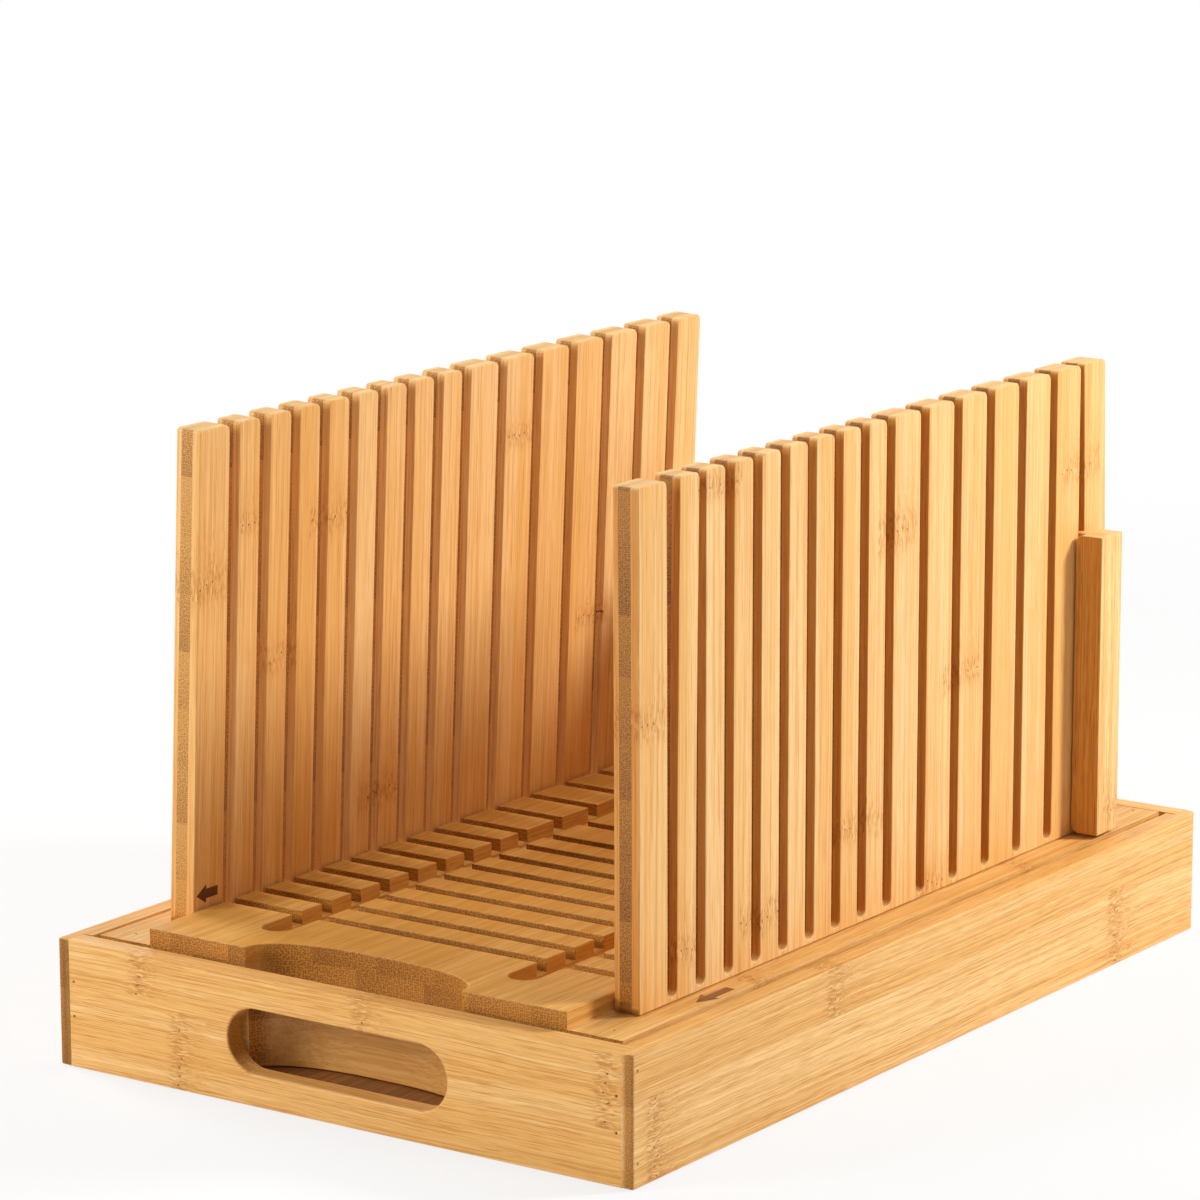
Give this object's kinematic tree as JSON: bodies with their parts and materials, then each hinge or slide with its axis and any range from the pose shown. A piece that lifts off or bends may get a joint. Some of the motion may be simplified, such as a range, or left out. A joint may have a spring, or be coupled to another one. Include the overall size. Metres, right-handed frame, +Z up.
{
  "type": "bread slicer guide",
  "caption": "Bamboo bread slicer: a crumb tray with a lift-out grooved bed, two slotted knife guides that stand on it, and a rear stop board that drops into their last slots.",
  "frame": {"origin": "middle of the tray's underside, on the surface it stands on", "axes": "+X to the right guide, +Y to the rear stop, with the handle that shows at the front (-Y), +Z up"},
  "size_m": [0.2, 0.3116, 0.1843],
  "materials": {
    "tray_bamboo": "satin oiled bamboo",
    "base_bamboo": "satin oiled bamboo",
    "guide_bamboo": "satin oiled three-ply bamboo",
    "stop_bamboo": "satin oiled bamboo",
    "brad_steel": "dulled steel"
  },
  "bodies": {
    "tray": {"tray_left_panel": "tray_bamboo", "tray_right_panel": "tray_bamboo", "tray_front_panel": "tray_bamboo", "tray_back_panel": "tray_bamboo", "tray_floor": "tray_bamboo", "side_brad_1": "brad_steel", "side_brad_2": "brad_steel", "side_brad_3": "brad_steel", "side_brad_4": "brad_steel", "side_brad_5": "brad_steel", "side_brad_6": "brad_steel", "side_brad_7": "brad_steel", "side_brad_8": "brad_steel", "end_brad_1": "brad_steel", "end_brad_2": "brad_steel", "end_brad_3": "brad_steel", "end_brad_4": "brad_steel", "end_brad_5": "brad_steel", "end_brad_6": "brad_steel", "end_brad_7": "brad_steel", "end_brad_8": "brad_steel"},
    "base": {"base_board": "base_bamboo", "platform": "base_bamboo", "front_rail": "base_bamboo", "rear_rail": "base_bamboo", "rail_brad_1": "brad_steel", "rail_brad_2": "brad_steel", "rail_brad_3": "brad_steel", "rail_brad_4": "brad_steel"},
    "left_guide": {"left_guide": "guide_bamboo"},
    "right_guide": {"right_guide": "guide_bamboo"},
    "rear_stop": {"rear_stop_board": "stop_bamboo", "rear_stop_left_post": "stop_bamboo", "rear_stop_right_post": "stop_bamboo"}
  },
  "joints": [
    {"name": "base_lift", "type": "slide", "parent": "tray", "child": "base", "axis": [0, 0, 1], "range_m": [0, 0.06]},
    {"name": "left_guide_lift", "type": "slide", "parent": "base", "child": "left_guide", "axis": [0, 0, 1], "range_m": [0, 0.02]},
    {"name": "right_guide_lift", "type": "slide", "parent": "base", "child": "right_guide", "axis": [0, 0, 1], "range_m": [0, 0.02]},
    {"name": "rear_stop_lift", "type": "slide", "parent": "left_guide", "child": "rear_stop", "axis": [0, 0, 1], "range_m": [0, 0.15]}
  ],
  "couplings": [
    {"joint": "right_guide_lift", "follows": "left_guide_lift", "ratio": 1}
  ]
}
